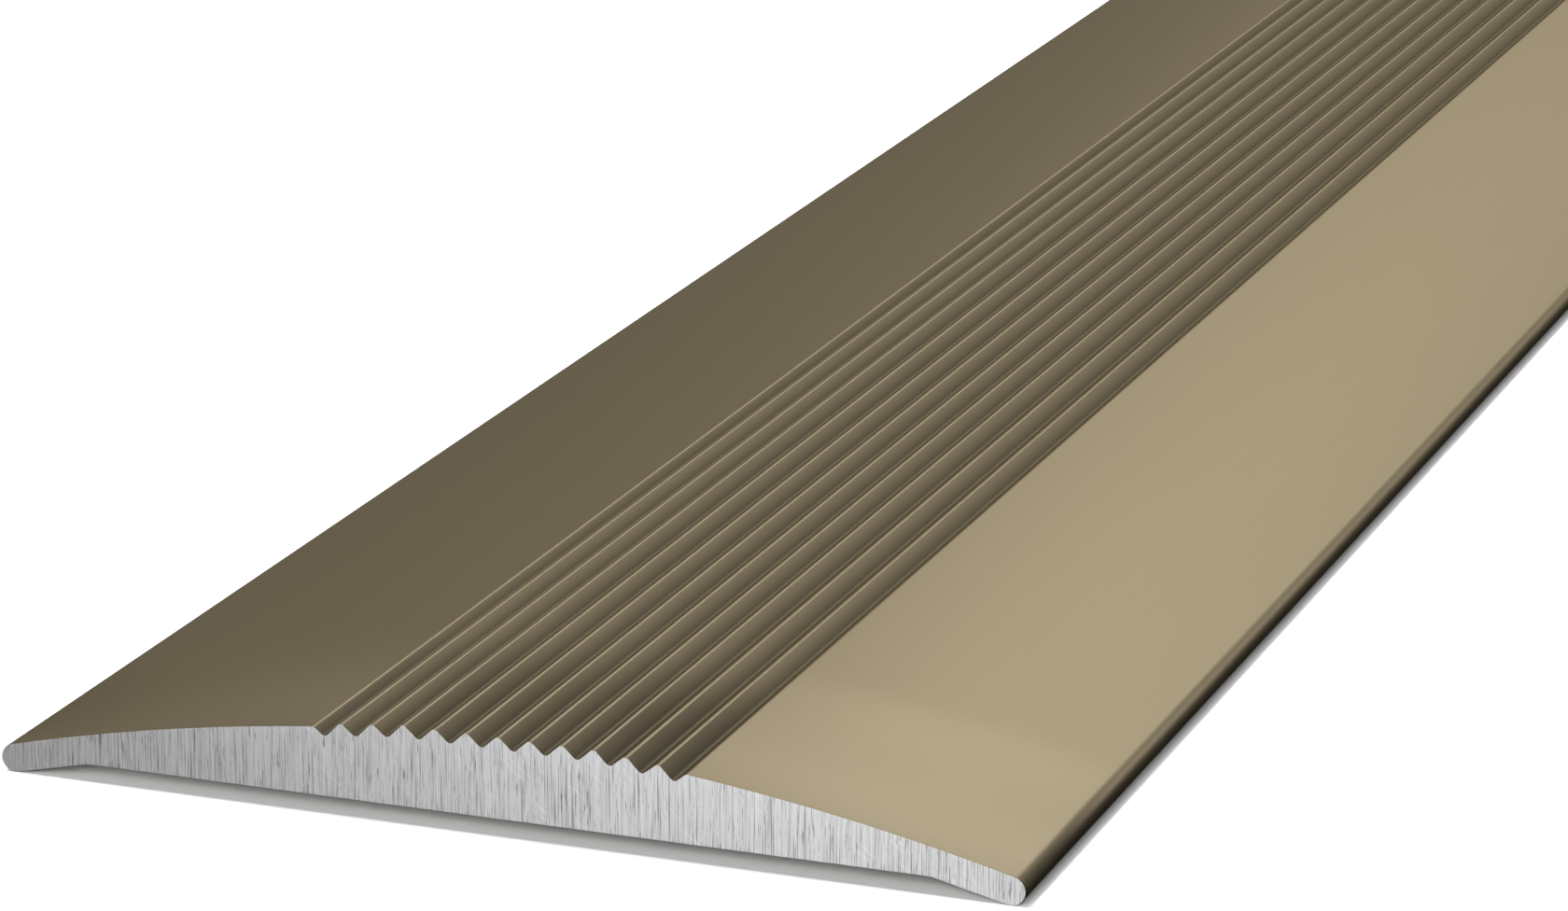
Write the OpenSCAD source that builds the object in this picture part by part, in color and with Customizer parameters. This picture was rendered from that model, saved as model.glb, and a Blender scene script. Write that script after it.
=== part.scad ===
// Floor threshold strip: one extruded, anodised aluminium bar that is stuck down with two foam tapes.
// The strip lies along Y and is centred on the origin. Z = 0 is the floor that it lies on.
// All sizes are in millimetres.

/* [Strip] */
// Length between the two sawn ends
strip_length = 1000; // [300:10:2700]
// Width over the two rounded edges
strip_width = 80; // [74:1:100]
// Height of the rib crests above the floor
strip_height = 7.6; // [7.2:0.1:9]
// Radius of the two rounded edges
edge_r = 1.1; // [0.9:0.05:1.3]
// Radius of the long, slightly domed flanks
flank_r = 178; // [140:1:400]

/* [Ribs] */
// Number of grooves between the ribs, side by side
groove_count = 12; // [6:2:14]
// Distance from one groove to the next
rib_pitch = 2.474; // [2.2:0.002:2.7]
// Depth of a groove below the crests beside it
groove_depth = 0.9; // [0.7:0.05:1]
// Radius on top of each rib
crest_r = 0.3; // [0.2:0.02:0.36]
// Radius at the bottom of each groove
valley_r = 0.36; // [0.2:0.02:0.4]
// Half width of the level middle, beyond which the crests step down towards the flanks
crown_half = 7.4; // [4:0.1:8]
// Fall of the crests beyond the level middle, for each millimetre outwards
crest_fall = 0.105; // [0.08:0.005:0.12]
// Height of the ribs' crests above the shoulders, where the outer grooves meet the flanks
shoulder_drop = 0.96; // [0.92:0.02:1]

/* [Underside] */
// Width of the flat recess that holds the tapes
recess_width = 66; // [60:1:68]
// Depth of the recess, which is the thickness of a tape with its liner
recess_depth = 1.36; // [1.2:0.02:1.6]

/* [Tape] */
// Width of each tape
tape_width = 25; // [15:1:25]
// Free width between the two tapes
tape_gap = 10; // [6:1:12]
// Distance from each sawn end of the strip to the end of the tapes
tape_setback = 6; // [5:1:15]
// Thickness of the paper liner that covers each tape
liner_thickness = 0.11; // [0.08:0.01:0.2]

/* [Hidden] */

anodised_bronze = "#8f8369";
foam_grey = "#4a4b4d";
liner_paper = "#e9e4d6";

// Steps in each rounded stretch of the outline
flank_steps = 14;
edge_steps = 14;
rib_steps = 6;

tape_length = strip_length - 2 * tape_setback;
tape_thickness = recess_depth - liner_thickness;
tape_offset = (tape_gap + tape_width) / 2;

// A groove's side leaves the valley arc at this angle and runs straight into the crest arc. The half
// pitch and the depth fix it: half_pitch sin(a) + (r - depth) cos(a) = r, with r both radii together.
half_pitch = rib_pitch / 2;
both_r = crest_r + valley_r;
side_angle = asin(both_r / norm([half_pitch, both_r - groove_depth]))
    - atan2(both_r - groove_depth, half_pitch);

// The outermost valley, and the shoulder that its outer side climbs to
last_valley_x = (groove_count - 1) / 2 * rib_pitch;
last_valley_z = crest_line(last_valley_x) - groove_depth;
shoulder_z = strip_height - shoulder_drop;
shoulder_x = last_valley_x + valley_r * sin(side_angle)
    + (shoulder_z - last_valley_z - valley_r * (1 - cos(side_angle)) + crest_fall * valley_r * sin(side_angle))
    / (tan(side_angle) - crest_fall);

// Points of the right half that the arcs are built on
shoulder = [shoulder_x, shoulder_z];
edge_centre = [strip_width / 2 - edge_r, edge_r];
recess_corner = [recess_width / 2, recess_depth];

// The flank's arc passes through the shoulder and runs tangent into the edge, so its centre is flank_r
// from the shoulder and flank_r - edge_r from the edge's own centre.
span = edge_centre - shoulder;
span_length = norm(span);
along = (pow(flank_r, 2) - pow(flank_r - edge_r, 2) + pow(span_length, 2)) / (2 * span_length);
below = sqrt(pow(flank_r, 2) - pow(along, 2));
flank_centre = shoulder + (along * span + below * [span[1], -span[0]]) / span_length;
shoulder_angle = heading(shoulder - flank_centre);
edge_top_angle = heading(edge_centre - flank_centre);

// The underside runs from the recess corner tangent onto the edge from below
to_edge = edge_centre - recess_corner;
chamfer_angle = heading(to_edge) - asin(edge_r / norm(to_edge));
edge_bottom_angle = chamfer_angle - 90;

// Direction of a vector, in degrees from +X
function heading(v) = atan2(v[1], v[0]);

// Height of the crests' common line at x: level in the middle, then falling to both sides
function crest_line(x) = strip_height - crest_fall * max(0, abs(x) - crown_half);

// Points on an arc about c, from the angle a0 to a1; first = 1 leaves out the point at a0
function arc(c, r, a0, a1, steps, first = 0) =
    [for (i = [first:steps]) let (a = a0 + (a1 - a0) * i / steps) c + r * [cos(a), sin(a)]];

// The rounded bottom of a groove at x, hung below the crests' line
function valley(x) = [
    for (i = [0:rib_steps])
        let (a = side_angle * (2 * i / rib_steps - 1), px = x + valley_r * sin(a))
        [px, crest_line(px) - groove_depth + valley_r * (1 - cos(a))]
];

// The rounded top of a rib at x
function crest(x) = [
    for (i = [0:rib_steps])
        let (a = side_angle * (2 * i / rib_steps - 1), px = x + crest_r * sin(a))
        [px, crest_line(px) - crest_r * (1 - cos(a))]
];

// The grooves from left to right, with a crest after each one but the last
function ribs() = [
    for (k = [0:groove_count - 1])
        let (x = k * rib_pitch - last_valley_x)
        each concat(valley(x), k < groove_count - 1 ? crest(x + half_pitch) : [])
];

// The right flank, edge and underside, from the shoulder to the recess corner
function right_side() = concat(
    arc(flank_centre, flank_r, shoulder_angle, edge_top_angle, flank_steps),
    arc(edge_centre, edge_r, edge_top_angle, edge_bottom_angle, edge_steps, first = 1),
    [recess_corner]
);

// The same points on the other side of the middle, in the opposite order
function mirrored(points) = [for (i = [len(points) - 1:-1:0]) [-points[i][0], points[i][1]]];

// A flat band on one side of the middle, from the height z0 up to z1
module band(side, z0, z1) {
    translate([side * tape_offset - tape_width / 2, -tape_length / 2, z0])
        cube([tape_width, tape_length, z1 - z0]);
}

// The extruded bar, sawn square at both ends
module profile_bar() {
    color(anodised_bronze)
        rotate([90, 0, 0])
            linear_extrude(strip_length, center = true)
                polygon(concat(ribs(), right_side(), mirrored(right_side())));
}

// Double-sided foam tape, stuck to the roof of the recess
module adhesive_tape(side) {
    color(foam_grey) band(side, liner_thickness, recess_depth);
}

// Siliconised paper on the tape's lower face, peeled off before the strip is laid
module release_liner(side) {
    color(liner_paper) band(side, 0, liner_thickness);
}

profile_bar();
adhesive_tape(-1);  // adhesive_tape_left
adhesive_tape(1);  // adhesive_tape_right
release_liner(-1);  // release_liner_left
release_liner(1);  // release_liner_right
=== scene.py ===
"""Looks of the floor threshold strip: a ribbed, anodised aluminium bar with sawn ends and a taped underside.

Everything is in metres. X runs across the strip, Y along it, and Z = 0 is the floor that it lies on.
"""

import math

import bpy
import numpy as np
from mathutils import Matrix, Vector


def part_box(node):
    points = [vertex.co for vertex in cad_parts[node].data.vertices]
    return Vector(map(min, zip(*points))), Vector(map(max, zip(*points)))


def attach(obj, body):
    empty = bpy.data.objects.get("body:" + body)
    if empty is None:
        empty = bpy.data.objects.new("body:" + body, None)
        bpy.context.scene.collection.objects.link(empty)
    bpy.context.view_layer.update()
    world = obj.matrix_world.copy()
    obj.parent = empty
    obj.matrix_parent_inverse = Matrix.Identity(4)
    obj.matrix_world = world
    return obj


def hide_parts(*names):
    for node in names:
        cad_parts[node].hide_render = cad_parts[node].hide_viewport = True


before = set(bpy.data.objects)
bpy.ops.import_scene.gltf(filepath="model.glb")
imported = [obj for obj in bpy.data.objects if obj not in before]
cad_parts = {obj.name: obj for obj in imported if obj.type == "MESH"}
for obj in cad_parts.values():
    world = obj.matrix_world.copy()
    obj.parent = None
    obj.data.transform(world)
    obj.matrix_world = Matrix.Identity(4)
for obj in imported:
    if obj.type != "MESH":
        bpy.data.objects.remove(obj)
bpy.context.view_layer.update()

# ---------------------------------------------------------------------------------------------------
# The bar: one aluminium extrusion, drawn through a die and anodised a light bronze in the long length,
# then sawn square. The die gives it rounded edges, slightly domed flanks and a band of ribs along the
# middle for grip. It lies on its two edges, and a flat recess between them leaves room for the tapes.
# ---------------------------------------------------------------------------------------------------
bar_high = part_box("profile_bar")[1]
HALF_WIDTH = bar_high.x
HALF_LENGTH = bar_high.y
CREST_HEIGHT = bar_high.z
EDGE_R = 0.0011
FLANK_R = 0.178
RECESS_HALF = 0.033
RECESS_DEPTH = 0.00136
RIB_PITCH = 0.002474
GROOVES = 12
GROOVE_DEPTH = 0.0009
CREST_R = 0.0003
VALLEY_R = 0.00036
CROWN_HALF = 0.0074
CREST_FALL = 0.105
SHOULDER_HEIGHT = CREST_HEIGHT - 0.00096
SHOULDER_ROUND = 0.00012
SAW_BREAK = 0.00002
# Height on the edge's arc where the painted shade round its foot begins
FOOT_TOP = 0.0019
LENGTH_STEPS = 41

# A groove's straight side leaves both of its arcs at this angle
both_r = CREST_R + VALLEY_R
side_angle = (math.asin(both_r / math.hypot(RIB_PITCH / 2, both_r - GROOVE_DEPTH))
              - math.atan2(both_r - GROOVE_DEPTH, RIB_PITCH / 2))
last_valley = (GROOVES - 1) / 2 * RIB_PITCH
edge_x = HALF_WIDTH - EDGE_R


def rib_height(x):
    """Height of the ribs at x: a zigzag with a round crest at every pitch and a round valley halfway, hung
    from a line that is level over the crown and falls evenly beyond it."""
    from_crest = np.abs((x / RIB_PITCH + 0.5) % 1 - 0.5) * RIB_PITCH
    from_valley = RIB_PITCH / 2 - from_crest
    crest_reach = CREST_R * math.sin(side_angle)
    valley_reach = VALLEY_R * math.sin(side_angle)
    crest = np.sqrt(CREST_R**2 - np.minimum(from_crest, crest_reach)**2) - CREST_R
    side = (from_crest - crest_reach) * math.tan(side_angle)
    valley = VALLEY_R - np.sqrt(VALLEY_R**2 - np.minimum(from_valley, valley_reach)**2) - GROOVE_DEPTH
    wave = np.where(from_valley < valley_reach, valley, crest - np.maximum(side, 0))
    return CREST_HEIGHT - CREST_FALL * np.maximum(np.abs(x) - CROWN_HALF, 0) + wave


# The shoulder is where the outer side of the last groove has climbed to the flank's inner end
outer_side = np.linspace(last_valley, last_valley + RIB_PITCH / 2, 400)
shoulder_x = float(np.interp(SHOULDER_HEIGHT, rib_height(outer_side), outer_side))

# The flank's arc goes through the shoulder and runs tangent into the edge's arc
span = np.array([edge_x - shoulder_x, EDGE_R - SHOULDER_HEIGHT])
span_length = np.hypot(*span)
along = (FLANK_R**2 - (FLANK_R - EDGE_R)**2 + span_length**2) / (2 * span_length)
below = math.sqrt(FLANK_R**2 - along**2)
flank_x, flank_z = (np.array([shoulder_x, SHOULDER_HEIGHT])
                    + (along * span + below * np.array([span[1], -span[0]])) / span_length)
edge_top_x = edge_x + EDGE_R * (edge_x - flank_x) / (FLANK_R - EDGE_R)

# The underside's slope runs from the recess down onto the edge's arc from below
to_edge = math.hypot(edge_x - RECESS_HALF, EDGE_R - RECESS_DEPTH)
under_angle = math.atan2(EDGE_R - RECESS_DEPTH, edge_x - RECESS_HALF) - math.asin(EDGE_R / to_edge)
edge_under_x = edge_x + EDGE_R * math.sin(under_angle)


def edge_rise(x):
    """Half the edge's thickness at x: the upright leg of a right triangle in the edge's circle."""
    return np.sqrt(np.maximum(EDGE_R**2 - np.maximum(np.abs(x) - edge_x, edge_under_x - edge_x)**2, 0))


def top_height(x):
    """Height of the upper side at x: the ribs, then the flank's arc beyond the shoulder, then the edge's arc.
    The lower of ribs and flank counts past the last valley, eased into each other over a short stretch."""
    out = np.abs(x)
    flank = flank_z + np.sqrt(FLANK_R**2 - (out - flank_x)**2)
    ribs = rib_height(x)
    close = np.maximum(1 - np.abs(ribs - flank) / SHOULDER_ROUND, 0)
    eased = np.minimum(ribs, flank) - close**2 * SHOULDER_ROUND / 4
    inner = np.where(out < last_valley, ribs, eased)
    inner = np.where(out > last_valley + RIB_PITCH / 2, flank, inner)
    return np.where(out < edge_top_x, inner, EDGE_R + edge_rise(x))


def under_height(x):
    """Height of the underside at x: the flat recess, then a straight slope down, then the edge's arc."""
    out = np.abs(x)
    slope = RECESS_DEPTH + (out - RECESS_HALF) * math.tan(under_angle)
    beyond = np.where(out < edge_under_x, slope, EDGE_R - edge_rise(x))
    return np.where(out < RECESS_HALF, RECESS_DEPTH, beyond)


def section_stations():
    """Places across the half section, close together where it turns: equal angles round every crest, valley
    and edge, and even steps over the flank and the underside's corner. The other half mirrors them."""
    turn = np.sin(np.linspace(-side_angle, side_angle, 11))
    valleys = (np.arange(GROOVES // 2) + 0.5) * RIB_PITCH
    crests = np.arange(GROOVES // 2) * RIB_PITCH
    half = np.concatenate([
        (valleys[:, None] + VALLEY_R * turn).ravel(),
        (crests[:, None] + CREST_R * turn).ravel(),
        shoulder_x + np.linspace(-1.5, 1.5, 9) * SHOULDER_ROUND,
        np.linspace(shoulder_x + 2 * SHOULDER_ROUND, edge_top_x, 44),
        [RECESS_HALF, edge_under_x],
        edge_x + EDGE_R * np.sin(np.linspace(math.asin((edge_top_x - edge_x) / EDGE_R), math.pi / 2, 25)),
    ])
    half = np.unique(np.round(np.abs(half), 8))
    return np.concatenate([-half[:0:-1], half])


def painted_shade(x):
    """Painted shade, from 0 to 1: on the upper side by the depth below the crest line in the grooves and by
    the nearness to the floor round the edge, and below by the nearness to the edge."""
    out = np.abs(x)
    height = top_height(x)
    crest_line = CREST_HEIGHT - CREST_FALL * np.maximum(out - CROWN_HALF, 0)
    foot = np.clip((FOOT_TOP - height) / (FOOT_TOP - EDGE_R), 0, 1)
    above = np.where(out < shoulder_x, (crest_line - height) / GROOVE_DEPTH, foot)
    below = np.clip((out - RECESS_HALF) / (edge_x - RECESS_HALF), 0, 1)
    return above, below


def lofted(name, grid, upper):
    """A closed piece on a grid of (place along Y) by (station round the section). The first stations, as many
    as upper says, go over the upper side from tip to tip, and the others come back below. A row of faces
    between the upper and the lower side closes each end, in material slot 1."""
    places, loop = grid.shape[:2]
    a = np.arange(loop)
    b = np.roll(a, -1)
    rows = np.arange(places - 1)[:, None] * loop
    skin = np.stack([rows + a, rows + b, rows + loop + b, rows + loop + a], axis=-1).reshape(-1, 4)
    over = np.arange(1, upper - 2)
    under = (loop - over) % loop
    near = np.stack([under, under - 1, over + 1, over], axis=-1)
    tips = np.array([[loop - 1, 1, 0], [upper - 2, upper, upper - 1]])
    far = (places - 1) * loop
    faces = [*skin.tolist(), *near.tolist(), *tips.tolist(),
             *(near[:, ::-1] + far).tolist(), *(tips[:, ::-1] + far).tolist()]
    mesh = bpy.data.meshes.new(name)
    mesh.from_pydata(grid.reshape(-1, 3).tolist(), [], faces)
    closing = len(faces) - len(skin)
    mesh.polygons.foreach_set("material_index", np.repeat([0, 1], [len(skin), closing]))
    mesh.polygons.foreach_set("use_smooth", np.repeat([True, False], [len(skin), closing]))
    piece = bpy.data.objects.new(name, mesh)
    bpy.context.scene.collection.objects.link(piece)
    return piece


def swept_bar(name):
    """The section, carried along Y. Its loop goes out over the upper side and back along the underside, and
    the first and last loops are drawn in along the outline's normal, where the saw breaks the corner."""
    x = section_stations()
    round_x = np.concatenate([x, x[-2:0:-1]])
    round_z = np.concatenate([top_height(x), under_height(x)[-2:0:-1]])
    tangent = np.stack([np.roll(round_x, -1) - np.roll(round_x, 1),
                        np.roll(round_z, -1) - np.roll(round_z, 1)])
    tangent /= np.maximum(np.hypot(*tangent), 1e-12)
    drawn_in = SAW_BREAK * np.stack([tangent[1], -tangent[0]])
    body = np.linspace(-HALF_LENGTH + SAW_BREAK, HALF_LENGTH - SAW_BREAK, LENGTH_STEPS)
    place = np.concatenate([[-HALF_LENGTH], body, [HALF_LENGTH]])
    inset = np.zeros(len(place))
    inset[[0, -1]] = 1
    grid = np.empty((len(place), len(round_x), 3))
    grid[:, :, 0] = round_x + inset[:, None] * drawn_in[0]
    grid[:, :, 1] = place[:, None]
    grid[:, :, 2] = round_z + inset[:, None] * drawn_in[1]
    piece = lofted(name, grid, len(x))
    # Painted shade, kept on the points: deepest in the grooves, along the foot of the edges and under them
    # near the edges
    above, below = painted_shade(x)
    shade_attribute = piece.data.attributes.new("painted_shade", "FLOAT", "POINT")
    shade_attribute.data.foreach_set("value", np.tile(np.concatenate([above, below[-2:0:-1]]), len(place)))
    return piece


def node(tree, kind, **values):
    """A shader node of that kind. Names that are sockets set the socket, and the others set the node."""
    made = tree.nodes.new("ShaderNode" + kind)
    for key, value in values.items():
        if key in made.inputs:
            made.inputs[key].default_value = value
        else:
            setattr(made, key, value)
    return made


def drawn_lines_group():
    """Lines that a die or a saw draws: noise on the place times a stretch, so that it is short across the
    lines and long along them. Mask goes from 0 to 1 about its middle, and Depth is a finer set for bump."""
    group = bpy.data.node_groups.new("Drawn lines", "ShaderNodeTree")
    for name, kind in (("Place", "NodeSocketVector"), ("Stretch", "NodeSocketVector"),
                       ("Contrast", "NodeSocketFloat")):
        group.interface.new_socket(name, in_out="INPUT", socket_type=kind)
    for name in ("Mask", "Depth"):
        group.interface.new_socket(name, in_out="OUTPUT", socket_type="NodeSocketFloat")
    inside = group.nodes.new("NodeGroupInput")
    outside = group.nodes.new("NodeGroupOutput")
    stretch = node(group, "VectorMath", operation="MULTIPLY")
    broad = node(group, "TexNoise", Scale=1.0, Detail=3.0, Roughness=0.6)
    fine = node(group, "TexNoise", Scale=2.7, Detail=4.0, Roughness=0.7)
    centre = node(group, "Math", operation="SUBTRACT")
    centre.inputs[1].default_value = 0.5
    spread = node(group, "Math", operation="MULTIPLY")
    lift = node(group, "Math", operation="ADD", use_clamp=True)
    lift.inputs[1].default_value = 0.5
    link = group.links.new
    link(inside.outputs["Place"], stretch.inputs[0])
    link(inside.outputs["Stretch"], stretch.inputs[1])
    link(stretch.outputs[0], broad.inputs["Vector"])
    link(stretch.outputs[0], fine.inputs["Vector"])
    link(broad.outputs["Fac"], centre.inputs[0])
    link(centre.outputs[0], spread.inputs[0])
    link(inside.outputs["Contrast"], spread.inputs[1])
    link(spread.outputs[0], lift.inputs[0])
    link(lift.outputs[0], outside.inputs["Mask"])
    link(fine.outputs["Fac"], outside.inputs["Depth"])
    return group


drawn_lines = drawn_lines_group()


def drawn(tree, place_socket, stretch, contrast):
    """The group of drawn lines, placed in a material with its own stretch and contrast."""
    made = tree.nodes.new("ShaderNodeGroup")
    made.node_tree = drawn_lines
    made.inputs["Stretch"].default_value = stretch
    made.inputs["Contrast"].default_value = contrast
    tree.links.new(place_socket, made.inputs["Place"])
    return made


# A mix node's first input, second input and output, by number: those for colours and those for numbers
COLOUR_SOCKETS = (6, 7, 2)
NUMBER_SOCKETS = (2, 3, 0)


def mixed(tree, fac_socket, low, high):
    """A colour or number between low and high, by the mask."""
    colour = not isinstance(low, float)
    first, second, result = COLOUR_SOCKETS if colour else NUMBER_SOCKETS
    made = node(tree, "Mix", data_type="RGBA" if colour else "FLOAT")
    made.inputs[first].default_value = (*low, 1) if colour else low
    made.inputs[second].default_value = (*high, 1) if colour else high
    tree.links.new(fac_socket, made.inputs[0])
    return made.outputs[result]


def shading_group():
    """A colour times a number, Share, that goes from Low to High as the mask goes from Start to End."""
    group = bpy.data.node_groups.new("Shading", "ShaderNodeTree")
    group.interface.new_socket("Colour", in_out="INPUT", socket_type="NodeSocketColor")
    for name in ("Mask", "Low", "High", "Start", "End"):
        group.interface.new_socket(name, in_out="INPUT", socket_type="NodeSocketFloat")
    group.interface.new_socket("Shaded", in_out="OUTPUT", socket_type="NodeSocketColor")
    inside = group.nodes.new("NodeGroupInput")
    outside = group.nodes.new("NodeGroupOutput")
    share = node(group, "MapRange", clamp=True)
    times = node(group, "Mix", data_type="RGBA", blend_type="MULTIPLY")
    times.inputs[0].default_value = 1.0
    link = group.links.new
    link(inside.outputs["Mask"], share.inputs["Value"])
    link(inside.outputs["Start"], share.inputs["From Min"])
    link(inside.outputs["End"], share.inputs["From Max"])
    link(inside.outputs["Low"], share.inputs["To Min"])
    link(inside.outputs["High"], share.inputs["To Max"])
    first, second, result = COLOUR_SOCKETS
    link(inside.outputs["Colour"], times.inputs[first])
    link(share.outputs["Result"], times.inputs[second])
    link(times.outputs[result], outside.inputs["Shaded"])
    return group


shading = shading_group()


def shaded(tree, colour_socket, mask_socket, low, high, start=0.0, end=1.0):
    """The group of shading, placed in a material: low and high are shares of the colour."""
    made = tree.nodes.new("ShaderNodeGroup")
    made.node_tree = shading
    for name, value in (("Low", low), ("High", high), ("Start", start), ("End", end)):
        made.inputs[name].default_value = value
    tree.links.new(colour_socket, made.inputs["Colour"])
    tree.links.new(mask_socket, made.inputs["Mask"])
    return made.outputs["Shaded"]


def new_material(name):
    """An empty material with its Principled shader and its Object coordinates."""
    material = bpy.data.materials.new(name)
    material.use_nodes = True
    tree = material.node_tree
    shader = tree.nodes["Principled BSDF"]
    place = tree.nodes.new("ShaderNodeTexCoord").outputs["Object"]
    return material, tree, shader, place


def bumped(tree, shader, height_socket, strength, distance):
    """A bump on the shader's normal."""
    bump = node(tree, "Bump", Strength=strength, Distance=distance)
    tree.links.new(height_socket, bump.inputs["Height"])
    tree.links.new(bump.outputs["Normal"], shader.inputs["Normal"])


# How many lines to a metre the die and the haze leave, over X, Y and Z
DIE_LINES = (5200, 14, 5200)
FILM_CLOUDS = (60, 9, 60)
BRONZE_DEEP = (0.344, 0.288, 0.190)
BRONZE_PALE = (0.363, 0.305, 0.203)
BRONZE_RIM = (0.95, 0.87, 0.72, 1)
HAZE_SHARE = 0.965
# The share of the colour that is left where the painted shade is deepest, and the roughness of the clean and
# of the shaded metal
PAINTED_SHADE_SHARE = 0.42
SATIN = 0.43
DULLER = 0.50


def anodised_bronze():
    """Satin anodised aluminium: an even bronze film over metal, with the faint lines that the die left.
    Painted shade darkens it down in the grooves and along the foot of the edges, and it is rougher there."""
    material, tree, shader, place = new_material("anodised_bronze")
    lines = drawn(tree, place, DIE_LINES, 1.3)
    clouds = drawn(tree, place, FILM_CLOUDS, 1.2)
    shade_attribute = node(tree, "Attribute", attribute_name="painted_shade")
    tone = mixed(tree, lines.outputs["Mask"], BRONZE_DEEP, BRONZE_PALE)
    hazed = shaded(tree, tone, clouds.outputs["Mask"], HAZE_SHARE, 1.0)
    # The base colour is darkened by painted shade in the grooves and round the edges' foot
    tree.links.new(shaded(tree, hazed, shade_attribute.outputs["Fac"], 1.0, PAINTED_SHADE_SHARE), shader.inputs["Base Color"])
    tree.links.new(mixed(tree, shade_attribute.outputs["Fac"], SATIN, DULLER), shader.inputs["Roughness"])
    bumped(tree, shader, lines.outputs["Depth"], 0.05, 0.00002)
    shader.inputs["Metallic"].default_value = 1.0
    shader.inputs["Specular Tint"].default_value = BRONZE_RIM
    return material


TEETH_MARKS = (3900, 3900, 34)
FINE_MARKS = (9500, 9500, 150)
TEARS = (9000, 9000, 430)
SCRATCHES = (5200, 5200, 210)
SCRATCH_SLANT = 52
ALUMINIUM_DULL = (0.66, 0.66, 0.66)
ALUMINIUM_BRIGHT = (0.84, 0.84, 0.845)
FINE_SHARE = 0.36
TEAR_SHARE = 0.42
SCRATCH_SHARE = 1.12


def sawn_aluminium():
    """Bare aluminium as the saw leaves it: upright teeth marks from top to bottom, finer ones in them, short
    dark tears in the deeper ones and a few light scratches on the slant."""
    material, tree, shader, place = new_material("sawn_aluminium")
    marks = drawn(tree, place, TEETH_MARKS, 2.4)
    fine = drawn(tree, place, FINE_MARKS, 3.0)
    tears = drawn(tree, place, TEARS, 3.5)
    slant = node(tree, "Mapping", vector_type="POINT")
    slant.inputs["Rotation"].default_value = (0, math.radians(SCRATCH_SLANT), 0)
    tree.links.new(place, slant.inputs["Vector"])
    scratches = drawn(tree, slant.outputs["Vector"], SCRATCHES, 4.0)
    tone = mixed(tree, marks.outputs["Mask"], ALUMINIUM_DULL, ALUMINIUM_BRIGHT)
    combed = shaded(tree, tone, fine.outputs["Mask"], FINE_SHARE, 1.0, 0.0, 0.42)
    torn = shaded(tree, combed, tears.outputs["Mask"], TEAR_SHARE, 1.0, 0.0, 0.18)
    scratched = shaded(tree, torn, scratches.outputs["Mask"], 1.0, SCRATCH_SHARE, 0.97, 1.0)
    tree.links.new(scratched, shader.inputs["Base Color"])
    tree.links.new(mixed(tree, marks.outputs["Mask"], 0.58, 0.50), shader.inputs["Roughness"])
    bumped(tree, shader, fine.outputs["Mask"], 0.20, 0.00002)
    shader.inputs["Metallic"].default_value = 1.0
    return material


bar = swept_bar("ribbed_bar")
bar.data.materials.append(anodised_bronze())
bar.data.materials.append(sawn_aluminium())
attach(bar, "root")
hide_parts("profile_bar")

# ---------------------------------------------------------------------------------------------------
# The two adhesive tapes: bands of black closed-cell foam with glue on both sides, slit to width on the roll
# and pressed up against the recess's roof, a little short of the sawn ends. The knife leaves open cells on
# their sides, and the foam bulges there.
# ---------------------------------------------------------------------------------------------------
BULGE = 0.00014
LAID_OFF = 0.00012
LAY_WAVE = 0.27
TAPE_STEPS = 120


def band_grid(low, high, side, sway, places):
    """A flat band between two corners: its height is constant and closes to an edge of half an ellipse over
    the width that side gives, and its middle line sways from straight as a sum of two sines along Y."""
    turn = np.linspace(0, math.pi / 2, 7)
    rim = (high.x - low.x) / 2 - side - abs(sway)
    flat = np.linspace(-rim, rim, 9)
    x = np.concatenate([-rim - side * np.cos(turn[:-1]), flat, rim + side * np.sin(turn[1:])])
    out = np.clip((np.abs(x) - rim) / side, 0, 1)
    rise = (high.z - low.z) / 2 * np.sqrt(1 - out**2)
    round_x = np.concatenate([x, x[-2:0:-1]])
    round_z = np.concatenate([rise, -rise[-2:0:-1]])
    place = np.linspace(low.y, high.y, places)
    phase = 2 * math.pi * place / LAY_WAVE
    wave = sway * (0.6 * np.sin(phase + low.x * 200) + 0.4 * np.sin(2.3 * phase))
    grid = np.empty((places, len(round_x), 3))
    grid[:, :, 0] = (low.x + high.x) / 2 + round_x + wave[:, None]
    grid[:, :, 1] = place[:, None]
    grid[:, :, 2] = (low.z + high.z) / 2 + round_z
    return grid, len(x)


CELLS = 5200.0
FOAM_DARK = (0.030, 0.031, 0.033)
FOAM_PALE = (0.052, 0.053, 0.055)


def closed_cell_foam():
    """Black foam: round cells a fifth of a millimetre across, some of them cut open, and painted shade that
    darkens every cell towards its middle.
    """
    material, tree, shader, place = new_material("closed_cell_foam")
    cells = node(tree, "TexVoronoi", Scale=CELLS, Randomness=0.85)
    patches = drawn(tree, place, (900, 500, 900), 1.4)
    tree.links.new(place, cells.inputs["Vector"])
    tone = mixed(tree, patches.outputs["Mask"], FOAM_DARK, FOAM_PALE)
    # Painted shade: every cell darker towards its middle and lighter towards its rim
    celled = shaded(tree, tone, cells.outputs["Distance"], 0.45, 1.25, 0.1, 0.7)
    tree.links.new(celled, shader.inputs["Base Color"])
    tree.links.new(mixed(tree, patches.outputs["Mask"], 0.78, 0.90), shader.inputs["Roughness"])
    bumped(tree, shader, cells.outputs["Distance"], 0.7, 0.00008)
    return material


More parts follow.
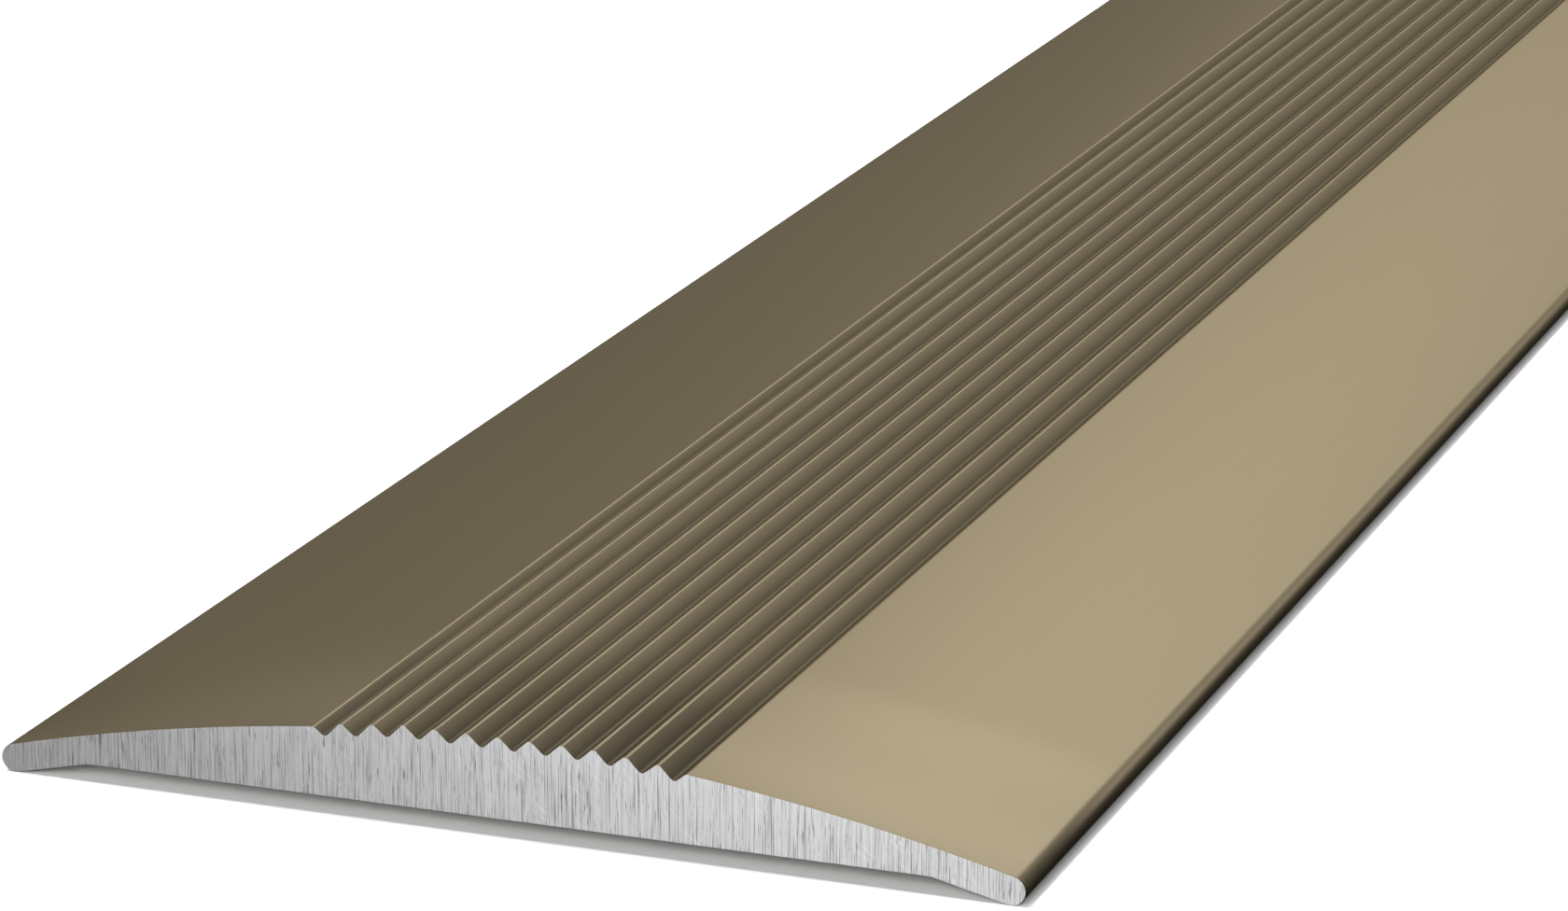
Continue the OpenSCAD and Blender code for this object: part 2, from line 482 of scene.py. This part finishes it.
foam = closed_cell_foam()
for hand in ("left", "right"):
    tape_low, tape_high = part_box("adhesive_tape_" + hand)
    tape = lofted("foam_tape_" + hand, *band_grid(tape_low, tape_high, BULGE, LAID_OFF, TAPE_STEPS))
    tape.data.materials.append(foam)
    tape.data.materials.append(foam)
    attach(tape, "root")
    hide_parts("adhesive_tape_" + hand)

# ---------------------------------------------------------------------------------------------------
# The two release liners: strips of siliconised kraft paper that keep the glue clean until the strip is laid.
# They are slit with their tape, so they follow its edges, and the paper is a little cockled.
# ---------------------------------------------------------------------------------------------------
PAPER_EDGE = 0.00003
COCKLE = 0.000012
COCKLE_WAVE = 0.036
LINER_STEPS = 240


def cockled(grid, low):
    """The band's underside lifted by a product of sines along and across it, and its upper side left flat."""
    lift = COCKLE * np.sin(2 * math.pi * grid[:, :, 1] / COCKLE_WAVE)**2 * np.cos(grid[:, :, 0] * 150)**2
    middle = (grid[:, :, 2].max() + low.z) / 2
    grid[:, :, 2] += np.where(grid[:, :, 2] < middle, lift, 0)
    return grid


FIBRES = (3000, 600, 3000)
KRAFT_DARK = (0.60, 0.52, 0.38)
KRAFT_PALE = (0.70, 0.63, 0.49)


def siliconised_paper():
    """Pale kraft paper with a silicone glaze: fibres mostly along the roll, and a faint cloudiness."""
    material, tree, shader, place = new_material("siliconised_paper")
    fibres = drawn(tree, place, FIBRES, 2.0)
    clouds = drawn(tree, place, (140, 90, 140), 1.3)
    tone = mixed(tree, fibres.outputs["Mask"], KRAFT_DARK, KRAFT_PALE)
    tree.links.new(shaded(tree, tone, clouds.outputs["Mask"], 0.93, 1.0), shader.inputs["Base Color"])
    tree.links.new(mixed(tree, fibres.outputs["Mask"], 0.30, 0.42), shader.inputs["Roughness"])
    bumped(tree, shader, fibres.outputs["Depth"], 0.2, 0.00002)
    return material


paper = siliconised_paper()
for hand in ("left", "right"):
    liner_low, liner_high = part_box("release_liner_" + hand)
    liner_grid, liner_upper = band_grid(liner_low, liner_high, PAPER_EDGE, LAID_OFF, LINER_STEPS)
    liner = lofted("paper_liner_" + hand, cockled(liner_grid, liner_low), liner_upper)
    liner.data.materials.append(paper)
    liner.data.materials.append(paper)
    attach(liner, "root")
    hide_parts("release_liner_" + hand)

# ---------------------------------------------------------------------------------------------------
# The studio: soft boxes and tall panels stand round the strip, and the metal mirrors them. The pale floor has
# two lights of its own, so that it stays even, and the metal mirrors it as nearly black.
# ---------------------------------------------------------------------------------------------------


def aimed(name, lamp, azimuth, elevation, distance, aim):
    """A lamp on a sphere about the aim, facing it. Azimuth 0 is towards +Y and 90 towards -X."""
    made = bpy.data.objects.new(name, lamp)
    turn = Matrix.Rotation(math.radians(azimuth), 4, "Z") @ Matrix.Rotation(math.radians(elevation), 4, "X")
    out = turn @ Matrix.Translation((0, distance, 0)) @ Matrix.Rotation(math.radians(-90), 4, "X")
    made.matrix_world = Matrix.Translation(aim) @ out
    made.visible_camera = False
    bpy.context.scene.collection.objects.link(made)
    return made


def soft_box(name, azimuth, elevation, distance, size, watts, aim):
    """A rectangular area lamp of that width and height."""
    lamp = bpy.data.lights.new(name, "AREA")
    lamp.shape = "RECTANGLE"
    lamp.size, lamp.size_y = size
    lamp.energy = watts
    return aimed(name, lamp, azimuth, elevation, distance, aim)


NEAR_END = -HALF_LENGTH
AROUND = (0, -0.35, 0)
AT_THE_END = (0.02, NEAR_END, 0.003)
AT_THE_FAR_END = (0, -NEAR_END, 0.003)
FAR_OFF = 3.0
PANEL = (0.85, 3.2)

# By name: azimuth, elevation, width and height, and watts
SOFT_BOXES = {
    "back_box": (6, 36, (0.9, 1.6), 9.9),
    "right_box": (-17, 24, (1.7, 1.0), 3.4),
    "low_right_box": (-32, 14, (1.5, 0.6), 3.6),
    "high_right_box": (-60, 60, (1.6, 1.6), 3.6),
    "high_box": (0, 70, (1.5, 1.5), 17.0),
    "high_left_box": (60, 50, (1.6, 1.6), 3.6),
    "back_left_panel": (22, 28, PANEL, 1.7),
    "far_left_panel": (38, 28, PANEL, 2.3),
    "left_panel": (85, 28, PANEL, 6.0),
    "back_right_panel": (-32, 28, PANEL, 2.5),
    "right_panel": (-85, 28, PANEL, 4.8),
    "front_left_panel": (148, 28, PANEL, 7.5),
    "front_panel": (180, 28, PANEL, 3.5),
    "front_right_panel": (-140, 26, (1.6, 2.4), 14.0),
}
for name, (azimuth, elevation, size, watts) in SOFT_BOXES.items():
    soft_box(name, azimuth, elevation, FAR_OFF, size, watts, AROUND)

# A small box close to each sawn end brings out its saw marks, and shines on the bar alone
only_bar = bpy.data.collections.new("only_bar")
only_bar.objects.link(bar)
end_box = soft_box("end_box", 175, 12, 0.16, (0.05, 0.04), 0.20, AT_THE_END)
end_box.light_linking.receiver_collection = only_bar
far_end_box = soft_box("far_end_box", 0, 2, 0.30, (0.12, 0.02), 0.25, AT_THE_FAR_END)
far_end_box.light_linking.receiver_collection = only_bar

FLOOR_HALF = 40
floor_mesh = bpy.data.meshes.new("studio_floor")
corners = [(-FLOOR_HALF, -FLOOR_HALF, 0), (FLOOR_HALF, -FLOOR_HALF, 0),
           (FLOOR_HALF, FLOOR_HALF, 0), (-FLOOR_HALF, FLOOR_HALF, 0)]
floor_mesh.from_pydata(corners, [], [(0, 1, 2, 3)])
studio_floor = bpy.data.objects.new("studio_floor", floor_mesh)
bpy.context.scene.collection.objects.link(studio_floor)
floor_paint, floor_tree, floor_shader, _ = new_material("pale_floor")
floor_shader.inputs["Roughness"].default_value = 0.9
floor_rays = floor_tree.nodes.new("ShaderNodeLightPath")
floor_colour = mixed(floor_tree, floor_rays.outputs["Is Glossy Ray"], (0.88, 0.88, 0.88), (0.02, 0.02, 0.02))
floor_tree.links.new(floor_colour, floor_shader.inputs["Base Color"])
floor_mesh.materials.append(floor_paint)

# Two broad skies shine on the floor alone: one from above and one from low in front, into the recess.
# By name: azimuth, elevation, how wide the sky is in degrees, and strength
FLOOR_SKIES = {
    "high_sky": (90, 74, 14, 2.7),
    "front_sky": (180, 22, 36, 3.2),
}
only_floor = bpy.data.collections.new("only_floor")
only_floor.objects.link(studio_floor)
for name, (azimuth, elevation, spread, strength) in FLOOR_SKIES.items():
    sky = bpy.data.lights.new(name, "SUN")
    sky.energy = strength
    sky.angle = math.radians(spread)
    aimed(name, sky, azimuth, elevation, FAR_OFF, AROUND).light_linking.receiver_collection = only_floor

# The walls look white, but give the metal next to no light
world = bpy.data.worlds.new("studio_walls")
world.use_nodes = True
wall_rays = world.node_tree.nodes.new("ShaderNodeLightPath")
wall_strength = mixed(world.node_tree, wall_rays.outputs["Is Camera Ray"], 0.01, 1.0)
walls = world.node_tree.nodes["Background"]
walls.inputs["Color"].default_value = (1, 1, 1, 1)
world.node_tree.links.new(wall_strength, walls.inputs["Strength"])
bpy.context.scene.world = world

bpy.context.scene.view_settings.view_transform = "Standard"

# ---------------------------------------------------------------------------------------------------
# The camera: a long lens low over the near end, turned 20 degrees towards -X.
# ---------------------------------------------------------------------------------------------------
CAMERA_PLACE = (0.15874, NEAR_END - 0.37388, 0.15073)
HEADING = 20.11
LOOK_DOWN = 16.723
ROLL = 0.252
lens = bpy.data.cameras.new("camera")
lens.sensor_width = 36
lens.lens = 137.27
lens.clip_start = 0.01
lens.clip_end = 200
camera = bpy.data.objects.new("camera", lens)
heading = Matrix.Rotation(math.radians(HEADING), 4, "Z")
tilt = Matrix.Rotation(math.radians(90 - LOOK_DOWN), 4, "X")
roll = Matrix.Rotation(math.radians(ROLL), 4, "Z")
camera.matrix_world = Matrix.Translation(CAMERA_PLACE) @ heading @ tilt @ roll
bpy.context.scene.collection.objects.link(camera)
bpy.context.scene.camera = camera
